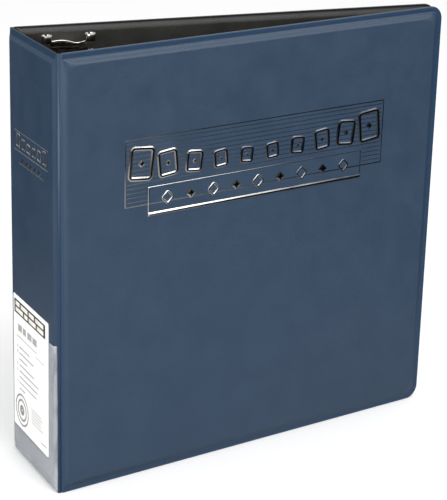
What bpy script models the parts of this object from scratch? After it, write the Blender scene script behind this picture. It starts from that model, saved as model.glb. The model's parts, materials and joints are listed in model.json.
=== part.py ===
"""Padded vinyl trading card binder with a D-ring mechanism, standing closed on its lower edges.

Row frame: metres, +X from the spine to the fore edge, +Y from the front cover to the back cover, +Z up.
The origin is the centre of the bounding box at the level that the binder stands on.
Each cover is built in its own frame, on an empty at its hinge line: u runs from the hinge to the fore
edge, v from the outer face to the inner face, and z up. The mechanism adds h, the height above the back
cover's liner, and a, the distance from the middle of the mechanism towards the fore edge.
"""

import math

import bmesh
import bpy
from mathutils import Matrix, Vector

MM = 0.001

# Driving dimensions, in millimetres
HEIGHT = 295.0  # cover height, for letter-size card pages
COVER_WIDTH = 305.5  # outer plane of the spine to the fore edge
SPINE_DEPTH = 78.7  # between the two hinge lines
LEAN = math.radians(6.65)  # each cover leans inwards, because the binder is empty
HINGE_X = 2.0  # hinge line behind the spine's outer plane
FORE_CORNER = 9.5  # radius of the two outer corners of a cover
HINGE_CORNER = 1.5  # radius of a cover's corners beside the spine

# Layers of a cover, as v from the hinge line: outer face of each layer, and its thickness
VINYL = 0.6
LINER = 0.5
SKIN_FLANGE_V = -0.3
SKIN_CROWN_V = -2.3
FOAM_V = -1.4
FOAM_THICKNESS = 1.2
BOARD_V = 0.1
BOARD_THICKNESS = 1.8
LINER_FLANGE_V = 0.6
LINER_CROWN_V = 2.2
INNER_V = LINER_CROWN_V + LINER
FLANGE = 5.0  # width of the weld round a cover
HINGE_FLANGE = 1.2
ROLL = 2.4  # width over which the padding falls to the weld
COVER_START = 2.0  # hinge line to the edge of the cover's skin
CROWN_CORNER = 6.0  # radius of the padded area's corners
FILLING_GAP = 1.1  # foam and board inside the padded area's edge

# Layers of the spine, as depth behind its outer plane
SPINE_FLANGE_DEPTH = 1.2
SPINE_BOARD_DEPTH = 0.9
SPINE_BOARD_THICKNESS = 2.0
SPINE_LINER_FLANGE_DEPTH = 2.1
SPINE_LINER_DEPTH = 3.2
SPINE_HALF = 38.45  # half the spine skin's width
SPINE_SIDE_FLANGE = 0.7
SPINE_ROLL = 1.1
SPINE_CORNER = 1.0
FLOOR_GAP = 0.5  # the soft hinge strips stop short of the surface

# Label pocket on the spine
CARD_THICKNESS = 0.4
FILM = 0.4
GAP = 0.3  # kept between touching pieces
CARD_LOW = (-27.2, 20.2)
CARD_HIGH = (34.3, 115.6)
POCKET_BOTTOM = 1.0
POCKET_TOP = 101.5
POCKET_HALF = 38.05
POCKET_WELD = 0.7

# Ring mechanism
MECH_U = 35.5  # hinge line to the middle of the mechanism
HOUSING_HALF = 15.55
HOUSING_RISE = 7.1
HOUSING_BASE = 1.9
HOUSING_LENGTH = 267.0
HOUSING_WALL = 0.9
HOUSING_LIP = ((2.6, 0.85), (0.7, 0.85))  # distance in from the arch's foot, and height
RING_SPACING = 108.0
RING_WIRE = 4.0
RING_FOOT_A = 8.0
RING_FOOT_H = 3.9
RING_TOP_H = 45.5
RING_BULGE_A = 19.5
RING_BULGE_H = 27.0
RING_LEG_A = 11.5
RING_LEG_DROP = 9.0  # straight half: start of its top bend, below the ring's top
RING_TIP_REACH = 2.5  # straight half: end of its top bend, beside the tip
SLOT_SHIFT = 0.8  # ring slots lie this far outside the ring's foot
SLOT_GAP = 0.6
SLOT_STRETCH = (1.35, 1, 1)
BLADE_PIVOT_A = 13.85
BLADE_PIVOT_H = 3.4
BLADE_CENTRE_H = 2.4
BLADE_THICKNESS = 1.0
BLADE_LENGTH = 251.0
BLADE_NOTCH = 3.6  # radius of the notches that clear the rivets
RIVET_SPACING = 170.0
RIVET_SHANK = 2.0
RIVET_OUTER_HEAD = ((0.0, 1.3), (2.4, 1.2), (4.2, 0.7), (4.6, 0.0))  # radius, and how far it stands out
RIVET_INNER_HEAD = ((3.4, 0.0), (3.0, 0.8), (1.6, 1.1), (0.0, 1.2))
LEVER_PIVOT_H = 4.3
LEVER_PIVOT_IN = 3.0  # lever pivot to the end of the housing
LEVER_PIN = 1.2
PIN_HEAD = ((0.0, 0.9), (1.8, 0.7), (1.8, 0.0))
LEVER_BORE = LEVER_PIN + 0.15
LEVER_EAR_A = 9.5
LEVER_EAR_HEIGHT = 4.9
LEVER_WALL = 1.0
TONGUE_REACH = 10.0
TONGUE_HALF = 3.0
LEVER_ROWS = (
    (-3.8, 0.95, LEVER_EAR_A),  # distance outwards from the pivot, height, half width
    (3.0, 1.7, LEVER_EAR_A),
    (6.3, 4.6, LEVER_EAR_A),
    (8.6, 9.5, 16.0),
    (12.6, 16.5, 17.0),
)

# Directions, half lengths and stretch of the cutting cylinders
ALONG = (1, 0, 0)
ACROSS = (0, 1, 0)
PLAIN = (1, 1, 1)
THROUGH_COVER = 10.0
THROUGH_HOUSING = 5.0
THROUGH_SIDE = 4.0
THROUGH_BLADE = 3.0
THROUGH_EAR = 2.0

MIDDLE_Z = HEIGHT / 2
FORE_U = COVER_WIDTH - HINGE_X
X_MAX = HINGE_X + FORE_U * math.cos(LEAN) - SKIN_FLANGE_V * math.sin(LEAN)
X_MIN = -(GAP + CARD_THICKNESS + GAP + FILM)
SHIFT_X = -(X_MIN + X_MAX) / 2

CORNER_STEPS = 6
ROUND_STEPS = 24

COLOURS = {
    "navy_vinyl": ((0.040, 0.070, 0.120), 0.45, 0.0),
    "black_liner": ((0.016, 0.016, 0.015), 0.45, 0.0),
    "chipboard": ((0.36, 0.30, 0.23), 0.90, 0.0),
    "foam": ((0.62, 0.62, 0.58), 0.95, 0.0),
    "clear_film": ((0.60, 0.64, 0.68), 0.15, 0.0),
    "label_card": ((0.86, 0.86, 0.84), 0.60, 0.0),
    "nickel_steel": ((0.62, 0.60, 0.57), 0.22, 1.0),
}


def clear_scene():
    for obj in list(bpy.data.objects):
        bpy.data.objects.remove(obj, do_unlink=True)


def material(name):
    found = bpy.data.materials.get(name)
    if found:
        return found
    colour, roughness, metallic = COLOURS[name]
    made = bpy.data.materials.new(name)
    made.use_nodes = True
    shader = made.node_tree.nodes["Principled BSDF"]
    shader.inputs["Base Color"].default_value = (*colour, 1.0)
    shader.inputs["Roughness"].default_value = roughness
    shader.inputs["Metallic"].default_value = metallic
    made.diffuse_color = (*colour, 1.0)
    return made


def empty(name, place, turn=0.0, parent=None):
    made = bpy.data.objects.new(name, None)
    made.location = Vector(place) * MM
    made.rotation_euler = (0, 0, turn)
    made.parent = parent
    bpy.context.scene.collection.objects.link(made)
    return made


def origin_under(frame):
    """Where a pivot stands in its cover's frame, in millimetres. A cover's own frame has none."""
    return frame.location / MM if frame.parent else Vector()


def add_object(name, bm, frame, material_name):
    """Turns a bmesh in millimetres into an object in metres under its frame. No material means a cutter."""
    bmesh.ops.recalc_face_normals(bm, faces=bm.faces)
    bmesh.ops.translate(bm, vec=-origin_under(frame), verts=bm.verts)
    bmesh.ops.scale(bm, vec=(MM, MM, MM), verts=bm.verts)
    mesh = bpy.data.meshes.new(name)
    bm.to_mesh(mesh)
    bm.free()
    made = bpy.data.objects.new(name, mesh)
    bpy.context.scene.collection.objects.link(made)
    made.parent = frame
    if material_name:
        mesh.materials.append(material(material_name))
    else:
        made.hide_render = True
        made.display_type = "WIRE"
    return made


def smooth(obj):
    obj.data.shade_smooth()
    obj.data.set_sharp_from_angle(angle=math.radians(35))


def rounded_outline(low, high, radius_low, radius_high):
    """Corners of a rectangle as arcs: radius_low on the side of low[0], radius_high on the other."""
    corners = (
        (high[0], high[1], radius_high, 0),
        (low[0], high[1], radius_low, 1),
        (low[0], low[1], radius_low, 2),
        (high[0], low[1], radius_high, 3),
    )
    points = []
    for x, y, radius, quarter in corners:
        centre_x = x - math.copysign(radius, x - (low[0] + high[0]) / 2)
        centre_y = y - math.copysign(radius, y - (low[1] + high[1]) / 2)
        for step in range(CORNER_STEPS + 1):
            angle = (quarter + step / CORNER_STEPS) * math.pi / 2
            points.append((centre_x + radius * math.cos(angle), centre_y + radius * math.sin(angle)))
    return points


def loft(rings):
    """A closed body through rings of equally many points, with a cap on the first and the last."""
    bm = bmesh.new()
    made = [[bm.verts.new(point) for point in ring] for ring in rings]
    for below, above in zip(made, made[1:]):
        for i in range(len(below)):
            bm.faces.new((below[i - 1], below[i], above[i], above[i - 1]))
    bm.faces.new(made[0])
    bm.faces.new(made[-1])
    return bm


def tray(crown, weld, edge, weld_depth, crown_depth, thickness, place):
    """A sheet whose middle, inside the crown outline, stands off the flat weld round its edge."""
    rows = (
        (crown, crown_depth + thickness),
        (weld, weld_depth + thickness),
        (edge, weld_depth + thickness),
        (edge, weld_depth),
        (weld, weld_depth),
        (crown, crown_depth),
    )
    return loft([[place(x, y, depth) for x, y in outline] for outline, depth in rows])


def slab(outline, depth, thickness, place):
    return loft([[place(x, y, d) for x, y in outline] for d in (depth, depth + thickness)])


def cutter(name, parent, bodies):
    """A hidden helper made of cylinders: (centre, direction, radius, half length, stretch)."""
    bm = bmesh.new()
    for centre, direction, radius, half, stretch in bodies:
        turn = Vector((0, 0, 1)).rotation_difference(Vector(direction)).to_matrix().to_4x4()
        made = bmesh.ops.create_cone(
            bm, cap_ends=True, segments=ROUND_STEPS, radius1=radius, radius2=radius, depth=2 * half
        )["verts"]
        bmesh.ops.transform(bm, matrix=turn, verts=made)
        bmesh.ops.scale(bm, vec=stretch, verts=made)
        bmesh.ops.translate(bm, vec=centre, verts=made)
    return add_object(name, bm, parent, None)


def cut(obj, helper):
    modifier = obj.modifiers.new("cut_" + helper.name, "BOOLEAN")
    modifier.operation = "DIFFERENCE"
    modifier.object = helper


def lathe(profile, place, direction):
    """A turned piece from (radius, height) points that start and end on the axis."""
    bm = bmesh.new()
    verts = [bm.verts.new((radius, 0, height)) for radius, height in profile]
    edges = [bm.edges.new(pair) for pair in zip(verts, verts[1:])]
    bmesh.ops.spin(
        bm,
        geom=verts + edges,
        cent=(0, 0, 0),
        axis=(0, 0, 1),
        angle=2 * math.pi,
        steps=ROUND_STEPS,
        use_merge=True,
    )
    bmesh.ops.remove_doubles(bm, verts=bm.verts, dist=0.001)
    turn = Vector((0, 0, 1)).rotation_difference(Vector(direction)).to_matrix().to_4x4()
    bmesh.ops.transform(bm, matrix=Matrix.Translation(place) @ turn, verts=bm.verts)
    return bm


def strip(points, thickness, z_low, z_high, place):
    """A sheet of even thickness along a path of (x, y) points, extruded from z_low to z_high."""
    bm = bmesh.new()
    sides = ([], [])
    for i, point in enumerate(points):
        before = Vector(points[max(i - 1, 0)])
        after = Vector(points[min(i + 1, len(points) - 1)])
        across = (after - before).normalized().orthogonal() * thickness / 2
        sides[0].append(Vector(point) + across)
        sides[1].append(Vector(point) - across)
    outline = sides[0] + sides[1][::-1]
    face = bm.faces.new([bm.verts.new(place(x, y, z_low)) for x, y in outline])
    raised = bmesh.ops.extrude_face_region(bm, geom=[face])["geom"]
    verts = [item for item in raised if isinstance(item, bmesh.types.BMVert)]
    bmesh.ops.translate(bm, vec=(0, 0, z_high - z_low), verts=verts)
    return bm


def cover_outline(inset, hinge_inset, hinge_radius, fore_radius):
    low = (COVER_START + hinge_inset, inset)
    high = (FORE_U - inset, HEIGHT - inset)
    return rounded_outline(low, high, hinge_radius, fore_radius)


def make_cover(name, side, frame, holes=None):
    """Skin, foam, board and liner of one cover. side is +1 where v runs along local +Y."""

    def place(u, z, v):
        return Vector((u, side * v, z))

    edge = cover_outline(0.0, 0.0, HINGE_CORNER, FORE_CORNER)
    weld = cover_outline(FLANGE, HINGE_FLANGE, HINGE_CORNER, FORE_CORNER - FLANGE)
    crown = cover_outline(FLANGE + ROLL, HINGE_FLANGE + ROLL, CROWN_CORNER, CROWN_CORNER)
    filling = cover_outline(
        FLANGE + ROLL + FILLING_GAP, HINGE_FLANGE + ROLL + FILLING_GAP, CROWN_CORNER, CROWN_CORNER
    )
    skin = tray(crown, weld, edge, SKIN_FLANGE_V, SKIN_CROWN_V, VINYL, place)
    liner = tray(crown, weld, edge, LINER_FLANGE_V, LINER_CROWN_V, LINER, place)
    foam = slab(filling, FOAM_V, FOAM_THICKNESS, place)
    board = slab(filling, BOARD_V, BOARD_THICKNESS, place)
    pieces = (
        add_object(name + "_skin", skin, frame, "navy_vinyl"),
        add_object(name + "_foam_pad", foam, frame, "foam"),
        add_object(name + "_board", board, frame, "chipboard"),
        add_object(name + "_liner", liner, frame, "black_liner"),
    )
    if holes:
        for piece in pieces:
            cut(piece, holes)


def spine_outline(end_inset, side_inset):
    half = SPINE_HALF - side_inset
    return rounded_outline((-half, end_inset), (half, HEIGHT - end_inset), SPINE_CORNER, SPINE_CORNER)


def make_spine(frame):
    """Skin, board and liner of the spine, whose depth runs along local +X."""

    def place(y, z, depth):
        return Vector((depth, y, z))

    edge = spine_outline(0.0, 0.0)
    weld = spine_outline(FLANGE, SPINE_SIDE_FLANGE)
    crown = spine_outline(FLANGE + SPINE_ROLL, SPINE_SIDE_FLANGE + SPINE_ROLL)
    filling = spine_outline(
        FLANGE + SPINE_ROLL + FILLING_GAP, SPINE_SIDE_FLANGE + SPINE_ROLL + FILLING_GAP
    )
    skin = tray(crown, weld, edge, SPINE_FLANGE_DEPTH, 0.0, VINYL, place)
    board = slab(filling, SPINE_BOARD_DEPTH, SPINE_BOARD_THICKNESS, place)
    liner = tray(crown, weld, edge, SPINE_LINER_FLANGE_DEPTH, SPINE_LINER_DEPTH, LINER, place)
    add_object("spine_skin", skin, frame, "navy_vinyl")
    add_object("spine_board", board, frame, "chipboard")
    add_object("spine_liner", liner, frame, "black_liner")


def upright(x, y, z):
    return Vector((x, y, z))


def make_hinge_strips(frame):
    """The welded vinyl between the spine and each cover, round the hinge line."""
    hinge_y = SPINE_DEPTH / 2
    reach = COVER_START - GAP
    for name, side in (("front_hinge_strip", -1), ("back_hinge_strip", 1)):
        path = [
            (SPINE_FLANGE_DEPTH + VINYL / 2, side * (SPINE_HALF + VINYL)),
            (HINGE_X, side * hinge_y),
            (HINGE_X + reach * math.cos(LEAN), side * (hinge_y - reach * math.sin(LEAN))),
        ]
        add_object(name, strip(path, VINYL, FLOOR_GAP, HEIGHT - FLOOR_GAP, upright), frame, "navy_vinyl")


def make_label(frame):
    """Printed card and the clear pocket that holds it against the spine."""
    card_middle = -GAP - CARD_THICKNESS / 2
    path = [(card_middle, CARD_LOW[0]), (card_middle, CARD_HIGH[0])]
    card = strip(path, CARD_THICKNESS, CARD_LOW[1], CARD_HIGH[1], upright)
    add_object("label_card", card, frame, "label_card")

    raised = X_MIN + FILM / 2
    welded = -GAP - FILM / 2
    path = [
        (welded, -POCKET_HALF),
        (welded, -POCKET_HALF + POCKET_WELD),
        (raised, -POCKET_HALF + 2 * POCKET_WELD),
        (raised, POCKET_HALF - 2 * POCKET_WELD),
        (welded, POCKET_HALF - POCKET_WELD),
        (welded, POCKET_HALF),
    ]
    film = strip(path, FILM, POCKET_BOTTOM, POCKET_TOP, upright)
    add_object("label_pocket", film, frame, "clear_film")


def mech(a, h, z):
    """A point of the mechanism in the back cover's frame."""
    return Vector((MECH_U + a, -(INNER_V + GAP + h), z))


def make_rivets(frame):
    """Two rivets from the outside of the back cover to the top of the housing."""
    outer = INNER_V + GAP - (SKIN_CROWN_V - GAP)
    crown = HOUSING_BASE + HOUSING_RISE + HOUSING_WALL / 2 + GAP
    profile = [(radius, -outer - rise) for radius, rise in RIVET_OUTER_HEAD]
    profile += [(RIVET_SHANK, -outer), (RIVET_SHANK, crown)]
    profile += [(radius, crown + rise) for radius, rise in RIVET_INNER_HEAD]
    for name, end in (("upper_rivet", 1), ("lower_rivet", -1)):
        place = mech(0, 0, MIDDLE_Z + end * RIVET_SPACING / 2)
        rivet = add_object(name, lathe(profile, place, (0, -1, 0)), frame, "nickel_steel")
        smooth(rivet)


def housing_path():
    """Mid-line of the housing's wall: a lip, the arch and the other lip."""
    lip = [(HOUSING_HALF - inset, height) for inset, height in HOUSING_LIP]
    arch = []
    steps = 14
    for step in range(steps + 1):
        angle = math.pi * step / steps
        arch.append((HOUSING_HALF * math.cos(angle), HOUSING_BASE + HOUSING_RISE * math.sin(angle)))
    return lip + arch + [(-a, h) for a, h in lip[::-1]]


def make_housing(frame):
    """Arched steel spine of the mechanism, with slots for the rings and holes for rivets and pins."""
    low = MIDDLE_Z - HOUSING_LENGTH / 2
    high = MIDDLE_Z + HOUSING_LENGTH / 2
    wall = strip(housing_path(), HOUSING_WALL, low, high, mech)
    housing = add_object("ring_housing", wall, frame, "nickel_steel")
    smooth(housing)

    holes = []
    for row in (-1, 0, 1):
        z = MIDDLE_Z + row * RING_SPACING
        for side in (-1, 1):
            slot = mech(side * (RING_FOOT_A + SLOT_SHIFT), HOUSING_RISE, z)
            holes.append((slot, ACROSS, RING_WIRE / 2 + SLOT_GAP, THROUGH_HOUSING, SLOT_STRETCH))
    for end in (-1, 1):
        rivet = mech(0, HOUSING_RISE, MIDDLE_Z + end * RIVET_SPACING / 2)
        holes.append((rivet, ACROSS, RIVET_SHANK + GAP, THROUGH_HOUSING, PLAIN))
        for side in (-1, 1):
            bore = lever_pivot(end) + Vector((side * HOUSING_HALF, 0, 0))
            holes.append((bore, ALONG, LEVER_BORE, THROUGH_SIDE, PLAIN))
    cut(housing, cutter("housing_holes", frame, holes))


def make_blade(name, frame, side):
    """A toggle blade hinged along its outer edge, notched round the rivets. The curved side is -1."""
    half = BLADE_LENGTH / 2
    path = [(side * BLADE_PIVOT_A, BLADE_PIVOT_H), (side * GAP, BLADE_CENTRE_H)]
    sheet = strip(path, BLADE_THICKNESS, MIDDLE_Z - half, MIDDLE_Z + half, mech)
    blade = add_object(name, sheet, frame, "nickel_steel")
    notches = []
    for end in (-1, 1):
        centre = mech(0, BLADE_CENTRE_H, MIDDLE_Z + end * RIVET_SPACING / 2)
        notches.append((centre, ACROSS, BLADE_NOTCH, THROUGH_BLADE, PLAIN))
    cut(blade, cutter(name + "_notches", frame, notches))


def ring_half(name, frame, knots, z):
    """A ring half as a bent wire through knots of (a, h, handle before, handle after)."""
    curve = bpy.data.curves.new(name, "CURVE")
    curve.dimensions = "3D"
    curve.bevel_depth = RING_WIRE / 2 * MM
    curve.bevel_resolution = 2
    curve.resolution_u = 8
    curve.use_fill_caps = True
    spline = curve.splines.new("BEZIER")
    spline.bezier_points.add(len(knots) - 1)
    origin = origin_under(frame)
    for point, (a, h, before, after) in zip(spline.bezier_points, knots):
        point.handle_left_type = "FREE"
        point.handle_right_type = "FREE"
        point.co = (mech(a, h, z) - origin) * MM
        point.handle_left = (mech(a + before[0], h + before[1], z) - origin) * MM
        point.handle_right = (mech(a + after[0], h + after[1], z) - origin) * MM
    curve.materials.append(material("nickel_steel"))
    made = bpy.data.objects.new(name, curve)
    bpy.context.scene.collection.objects.link(made)
    made.parent = frame


def make_rings(curved_frame, straight_frame):
    """Three D-shaped rings, each of a curved half beside the spine and a straight half."""
    tip = GAP / 2
    curved = [
        (-RING_FOOT_A, RING_FOOT_H, (0, -2), (0, 9)),
        (-RING_BULGE_A, RING_BULGE_H, (0, -10), (0, 10)),
        (-tip, RING_TOP_H, (-11, 0), (2, 0)),
    ]
    straight = [
        (RING_FOOT_A, RING_FOOT_H, (0, -2), (0.8, 9)),
        (RING_LEG_A, RING_TOP_H - RING_LEG_DROP, (-0.8, -9), (0.45, 5)),
        (tip + RING_TIP_REACH, RING_TOP_H, (5, 0), (-0.8, 0)),
        (tip, RING_TOP_H, (0.8, 0), (-1, 0)),
    ]
    for row_name, row in (("top", 1), ("middle", 0), ("bottom", -1)):
        z = MIDDLE_Z + row * RING_SPACING
        ring_half("curved_ring_" + row_name, curved_frame, curved, z)
        ring_half("straight_ring_" + row_name, straight_frame, straight, z)


def lever_pivot(end):
    return mech(0, LEVER_PIVOT_H, MIDDLE_Z + end * (HOUSING_LENGTH / 2 - LEVER_PIVOT_IN))


def make_lever(name, frame, end):
    """A thumb lever at one end of the housing, with two ears on its pin and a tongue under the blades."""
    pivot = lever_pivot(end)

    def row(along, height, halves):
        return [bm.verts.new(mech(a, height, pivot.z + end * along)) for a in halves]

    bm = bmesh.new()
    tongue = row(-TONGUE_REACH, LEVER_ROWS[0][1], (-TONGUE_HALF, TONGUE_HALF))
    plate = [
        row(along, height, (-half, -TONGUE_HALF, TONGUE_HALF, half)) for along, height, half in LEVER_ROWS
    ]
    bm.faces.new((tongue[0], tongue[1], plate[0][2], plate[0][1]))
    for near, far in zip(plate, plate[1:]):
        for column in range(3):
            bm.faces.new((near[column], near[column + 1], far[column + 1], far[column]))
    sides = [bm.edges.get((plate[0][column], plate[1][column])) for column in (0, 3)]
    raised = bmesh.ops.extrude_edge_only(bm, edges=sides)["geom"]
    tops = [item for item in raised if isinstance(item, bmesh.types.BMVert)]
    bmesh.ops.translate(bm, vec=(0, -LEVER_EAR_HEIGHT, 0), verts=tops)
    lever = add_object(name, bm, frame, "nickel_steel")
    wall = lever.modifiers.new("wall", "SOLIDIFY")
    wall.thickness = LEVER_WALL * MM
    wall.offset = 0.0
    bores = []
    for side in (-1, 1):
        bores.append((pivot + Vector((side * LEVER_EAR_A, 0, 0)), ALONG, LEVER_BORE, THROUGH_EAR, PLAIN))
    cut(lever, cutter(name + "_bores", frame, bores))


def make_lever_pin(name, frame, end):
    """A headed pin through both walls of the housing and the lever's ears."""
    reach = HOUSING_HALF + HOUSING_WALL
    near_end = [(radius, -reach - rise) for radius, rise in PIN_HEAD] + [(LEVER_PIN, -reach)]
    profile = near_end + [(radius, -height) for radius, height in near_end[::-1]]
    smooth(add_object(name, lathe(profile, lever_pivot(end), ALONG), frame, "nickel_steel"))


def main():
    clear_scene()
    spine = empty("spine_frame", (SHIFT_X, 0, 0))
    front = empty("front_hinge", (SHIFT_X + HINGE_X, -SPINE_DEPTH / 2, 0), LEAN)
    back = empty("back_hinge", (SHIFT_X + HINGE_X, SPINE_DEPTH / 2, 0), -LEAN)
    curved = empty("curved_rings_pivot", mech(-BLADE_PIVOT_A, BLADE_PIVOT_H, 0), parent=back)
    straight = empty("straight_rings_pivot", mech(BLADE_PIVOT_A, BLADE_PIVOT_H, 0), parent=back)

    rivet_holes = [
        (mech(0, 0, MIDDLE_Z + end * RIVET_SPACING / 2), ACROSS, RIVET_SHANK + GAP, THROUGH_COVER, PLAIN)
        for end in (-1, 1)
    ]
    make_cover("front", 1, front)
    make_cover("back", -1, back, cutter("rivet_holes", back, rivet_holes))
    make_spine(spine)
    make_hinge_strips(spine)
    make_label(spine)
    make_housing(back)
    make_rivets(back)
    make_blade("curved_side_blade", curved, -1)
    make_blade("straight_side_blade", straight, 1)
    make_rings(curved, straight)
    for end_name, end in (("upper", 1), ("lower", -1)):
        make_lever_pin(end_name + "_booster_pin", back, end)
        lever_frame = empty(end_name + "_booster_pivot", lever_pivot(end), parent=back)
        make_lever(end_name + "_booster", lever_frame, end)


main()
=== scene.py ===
"""Looks of a padded vinyl trading card binder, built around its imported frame.

Row frame: metres, +X from the spine to the fore edge, +Y from the front cover to the back cover, +Z up.
Pieces are shaped in millimetres in the frame of their own sub-part and then put in place:
cover frames (u from the hinge to the fore edge, v from the outer face inwards, z up), the spine frame
(depth behind its outer plane, y, z) and the ring mechanism's frame (a towards the fore edge, h above the
back cover's liner, z).
"""

import json
import math

import bmesh
import bpy
from mathutils import Matrix, Vector


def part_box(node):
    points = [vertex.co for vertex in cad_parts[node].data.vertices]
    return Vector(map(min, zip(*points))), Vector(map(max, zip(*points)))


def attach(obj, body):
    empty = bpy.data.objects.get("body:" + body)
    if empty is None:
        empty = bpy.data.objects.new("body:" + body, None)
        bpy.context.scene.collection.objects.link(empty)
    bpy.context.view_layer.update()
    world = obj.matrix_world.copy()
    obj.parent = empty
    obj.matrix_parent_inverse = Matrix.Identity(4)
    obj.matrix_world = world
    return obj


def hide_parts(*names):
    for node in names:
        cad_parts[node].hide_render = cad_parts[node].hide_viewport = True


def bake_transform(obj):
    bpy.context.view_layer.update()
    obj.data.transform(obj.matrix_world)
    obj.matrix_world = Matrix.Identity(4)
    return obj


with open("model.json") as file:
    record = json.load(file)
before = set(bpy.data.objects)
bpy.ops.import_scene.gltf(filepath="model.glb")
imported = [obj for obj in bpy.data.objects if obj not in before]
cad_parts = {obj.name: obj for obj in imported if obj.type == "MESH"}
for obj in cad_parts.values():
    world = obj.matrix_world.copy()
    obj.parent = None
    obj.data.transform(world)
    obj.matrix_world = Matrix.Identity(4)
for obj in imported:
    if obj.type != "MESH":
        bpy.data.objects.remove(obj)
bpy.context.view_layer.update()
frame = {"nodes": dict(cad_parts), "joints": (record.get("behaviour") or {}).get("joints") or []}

MM = 0.001

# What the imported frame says, in millimetres
JOINTS = {joint["name"]: joint for joint in frame["joints"]}
LEAN = math.asin(JOINTS["upper_booster_hinge"]["axis"][1])
SPINE_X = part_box("spine_skin")[0].x / MM
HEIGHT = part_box("spine_skin")[1].z / MM
SPINE_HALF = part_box("spine_skin")[1].y / MM
FRONT_HINGE = Vector(JOINTS["front_hinge"]["pos_m"]) / MM
BACK_HINGE = Vector(JOINTS["back_hinge"]["pos_m"]) / MM
CURVED_PIVOT = Vector(JOINTS["curved_rings_hinge"]["pos_m"]) / MM
STRAIGHT_PIVOT = Vector(JOINTS["straight_rings_hinge"]["pos_m"]) / MM
FORE_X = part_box("front_skin")[1].x / MM
MIDDLE_Z = HEIGHT / 2

# Layers of a cover, as v of their shown faces
SKIN_FLANGE_V = -0.3
SKIN_CROWN_V = -2.3
SKIN_PUFF_V = -2.5  # middle of the padding
HINGE_EDGE_V = 0.6  # where the skin meets the hinge, in the groove
LINER_FLANGE_V = 1.6
LINER_CROWN_V = 2.7
COVER_START = 2.0  # hinge line to the edge of a cover's skin
SKIN = 0.35  # thickness of the navy sheet
VINYL = 0.5  # thickness of the black sheet
FORE_U = (FORE_X - FRONT_HINGE.x + SKIN_FLANGE_V * math.sin(LEAN)) / math.cos(LEAN)

# Outline of a cover
FLANGE = 5.0
HINGE_FLANGE = 1.2
FORE_CORNER = 9.5
HINGE_CORNER = 1.5
HINGE_ROLL = 5.5  # width over which the padding rises from the hinge
SKIN_ROLL = (4.7, 5.2)  # inset where the padding's roll starts, and its width
SKIN_CROWN_CORNER = 12.0
LINER_ROLL = (1.0, 6.5)
LINER_CROWN_CORNER = 6.0
PUFF = ((3.0, 0.45), (8.0, 0.8), (15.0, 0.95), (22.0, 1.0))  # distance past the roll, share of the puff
EDGE_SHARE = 0.55  # how far round the sealed edge the navy skin reaches before the black liner

# Mechanism
BLADE_PIVOT_H = 3.4
RING_WIRE = 4.0

CORNER_STEPS = 10


def turned(point, angle):
    return Matrix.Translation((point.x, point.y, 0)) @ Matrix.Rotation(angle, 4, "Z")


MIRRORED = Matrix.Scale(-1, 4, (0, 1, 0))
SPINE = Matrix.Translation((SPINE_X, 0, 0))
FRONT = turned(FRONT_HINGE, LEAN)
BACK = turned(BACK_HINGE, -LEAN) @ MIRRORED
MECHANISM = (
    turned((CURVED_PIVOT + STRAIGHT_PIVOT) / 2, -LEAN) @ MIRRORED @ Matrix.Translation((0, -BLADE_PIVOT_H, 0))
)


# Shaping


def outline(low, high, radius_low, radius_high):
    """Corners of a rectangle as arcs: radius_low on the side of low[0], radius_high on the other."""
    corners = (
        (high[0] - radius_high, high[1] - radius_high, radius_high),
        (low[0] + radius_low, high[1] - radius_low, radius_low),
        (low[0] + radius_low, low[1] + radius_low, radius_low),
        (high[0] - radius_high, low[1] + radius_high, radius_high),
    )
    points = []
    for quarter, (x, y, radius) in enumerate(corners):
        for step in range(CORNER_STEPS + 1):
            angle = (quarter + step / CORNER_STEPS) * math.pi / 2
            points.append((x + radius * math.cos(angle), y + radius * math.sin(angle)))
    return points


def raise_line(bm, edges, verts):
    """Extrudes edges once. Gives the new edges, and the new partner of each of verts."""
    raised = bmesh.ops.extrude_edge_only(bm, edges=edges)["geom"]
    new = {item for item in raised if isinstance(item, bmesh.types.BMVert)}
    partners = [next(e.other_vert(v) for e in v.link_edges if e.other_vert(v) in new) for v in verts]
    return [item for item in raised if isinstance(item, bmesh.types.BMEdge)], partners


def raise_strip(points, rise):
    """An open strip: a line through points, extruded by rise along z."""
    bm = bmesh.new()
    verts = [bm.verts.new(point) for point in points]
    edges = [bm.edges.new(pair) for pair in zip(verts, verts[1:])]
    _, tops = raise_line(bm, edges, verts)
    bmesh.ops.translate(bm, vec=(0, 0, rise), verts=tops)
    return bm


def loft(rings, pressed_and_shaded=()):
    """A sheet through rings of equally many points: each ring is the last one's edges, extruded to it.

    The given shares set, for the material, each ring's part of the heat-seal tool's smooth finish and of the
    seal bands' darker colour, a painted shade."""
    bm = bmesh.new()
    mark = bm.verts.layers.float.new("pressed_and_shaded")
    shares = list(pressed_and_shaded) + [0.0] * (len(rings) - len(pressed_and_shaded))
    verts = [bm.verts.new(point) for point in rings[0]]
    for vert in verts:
        vert[mark] = shares[0]
    edges = [bm.edges.new((verts[i - 1], verts[i])) for i in range(len(verts))]
    for ring, share in zip(rings[1:], shares[1:]):
        edges, verts = raise_line(bm, edges, verts)
        for vert, point in zip(verts, ring):
            vert.co = point
            vert[mark] = share
    bmesh.ops.contextual_create(bm, geom=edges)
    return bm


def face_outwards(bm, direction):
    """Turns the faces of an open sheet so that its largest face looks along direction."""
    bmesh.ops.recalc_face_normals(bm, faces=bm.faces)
    largest = max(bm.faces, key=lambda face: face.calc_area())
    if largest.normal.dot(Vector(direction)) < 0:
        bmesh.ops.reverse_faces(bm, faces=bm.faces)


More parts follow.
